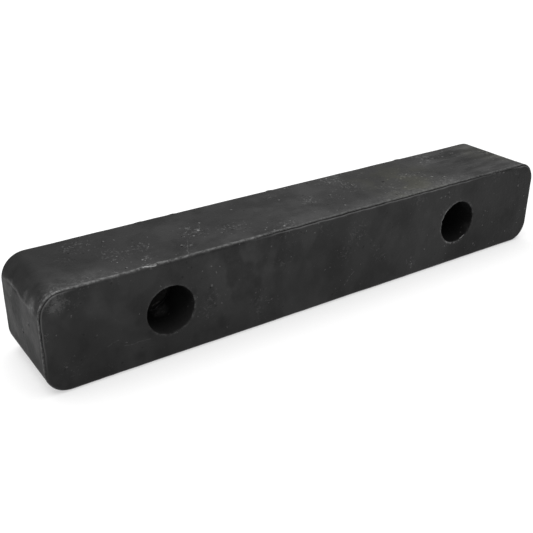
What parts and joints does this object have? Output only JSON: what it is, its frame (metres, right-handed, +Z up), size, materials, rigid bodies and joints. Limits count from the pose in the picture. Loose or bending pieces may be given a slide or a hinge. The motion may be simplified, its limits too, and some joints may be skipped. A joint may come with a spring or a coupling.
{
  "type": "rubber bumper block",
  "caption": "Solid moulded rubber bumper block with rounded ends and deep counterbored bolt holes, for bolting to a wall, dock edge, vehicle or road surface.",
  "frame": {"origin": "middle of the footprint, on the surface that the block rests on with its long side down", "axes": "+X along the block's length, +Y out of the back face that is bolted down, -Y out of the front face that the counterbores open in, +Z up"},
  "size_m": [0.5, 0.08, 0.08],
  "materials": {
    "rubber": "moulded black rubber, slightly worn and dusty",
    "seat_washer": "dull grey steel, darkened by the moulding"
  },
  "bodies": {
    "root": {"rubber_block": "rubber", "left_seat_washer": "seat_washer", "right_seat_washer": "seat_washer"}
  },
  "joints": []
}
